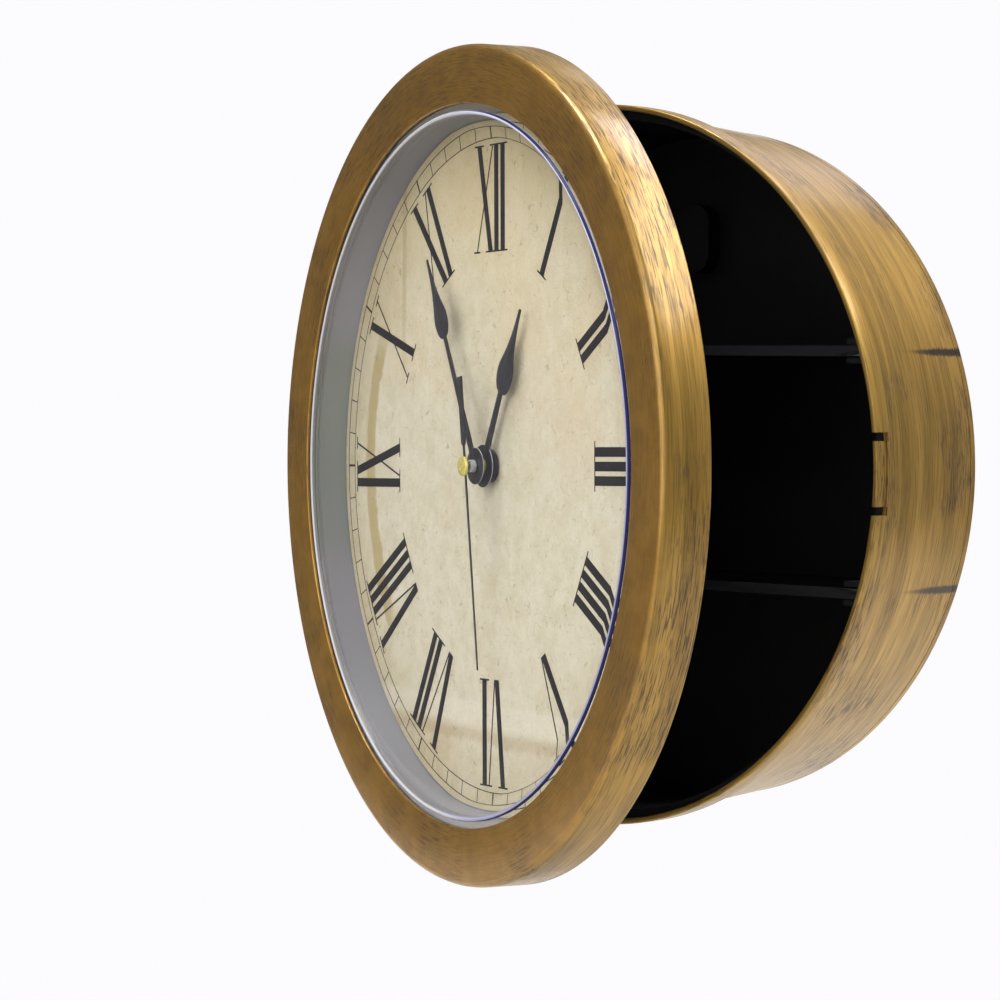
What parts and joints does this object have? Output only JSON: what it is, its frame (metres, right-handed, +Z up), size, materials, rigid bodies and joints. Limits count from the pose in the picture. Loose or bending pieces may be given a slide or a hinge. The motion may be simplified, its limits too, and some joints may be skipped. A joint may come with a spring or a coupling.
{
  "type": "clock diversion safe",
  "caption": "Round wall clock whose hinged dial door swings open on a shallow drum with two shelves for hiding small valuables.",
  "frame": {"origin": "centre of the back cover's rear face, which rests on the wall", "axes": "+Y into the wall, so the dial faces -Y when the door is shut, and +Z up"},
  "size_m": [0.241, 0.1415, 0.25],
  "materials": {
    "antique_gold": "metallic antique-gold paint with brushed brown patina",
    "black_plastic": "glossy black moulding",
    "grey_plastic": "satin light grey moulding",
    "clear_lens": "clear, polished, bevelled edge",
    "printed_paper": "printed aged cream, matt",
    "steel": "plain zinc-plated steel",
    "rubber": "matt black rubber",
    "brass": "polished brass",
    "black_enamel": "black slate enamel on thin aluminium",
    "cell_label": "plain plastic-film label on a steel can"
  },
  "bodies": {
    "case": {"case_drum": "antique_gold", "back_cover": "black_plastic", "upper_shelf": "black_plastic", "lower_shelf": "black_plastic", "hinge_pin": "steel", "cover_screw_1": "steel", "cover_screw_2": "steel", "cover_screw_3": "steel", "cover_screw_4": "steel"},
    "door": {"door_bezel": "antique_gold", "lens": "clear_lens", "dial_cup": "grey_plastic", "dial_face": "printed_paper", "movement_case": "black_plastic", "movement_gasket": "rubber", "threaded_bush": "brass", "fixing_nut": "black_enamel", "battery_cell": "cell_label", "battery_spring": "steel", "battery_plate": "steel", "cup_screw_1": "steel", "cup_screw_2": "steel", "cup_screw_3": "steel", "cup_screw_4": "steel"},
    "hour": {"hour_hand": "black_enamel", "hour_tube": "brass"},
    "minute": {"minute_hand": "black_enamel", "minute_arbor": "steel", "minute_nut": "steel"},
    "second": {"second_hand": "black_enamel", "second_arbor": "steel", "second_cap": "brass"},
    "knob": {"setting_knob": "grey_plastic"}
  },
  "joints": [
    {"name": "door_hinge", "type": "hinge", "parent": "case", "child": "door", "pos_m": [-0.122, -0.0475, 0], "axis": [0, 0, -1], "range_deg": [-18.7, 91.3]},
    {"name": "hour_turn", "type": "hinge", "parent": "door", "child": "hour", "pos_m": [-0.00737, -0.08936, 0], "axis": [0.3206, 0.9472, 0], "continuous": true},
    {"name": "minute_turn", "type": "hinge", "parent": "door", "child": "minute", "pos_m": [-0.00737, -0.08936, 0], "axis": [0.3206, 0.9472, 0], "continuous": true},
    {"name": "second_turn", "type": "hinge", "parent": "door", "child": "second", "pos_m": [-0.00737, -0.08936, 0], "axis": [0.3206, 0.9472, 0], "continuous": true},
    {"name": "knob_turn", "type": "hinge", "parent": "door", "child": "knob", "pos_m": [-0.00147, -0.07193, 0.015], "axis": [0.3206, 0.9472, 0], "continuous": true}
  ],
  "couplings": [
    {"joint": "hour_turn", "follows": "minute_turn", "ratio": 0.083333},
    {"joint": "knob_turn", "follows": "minute_turn", "ratio": 1}
  ]
}
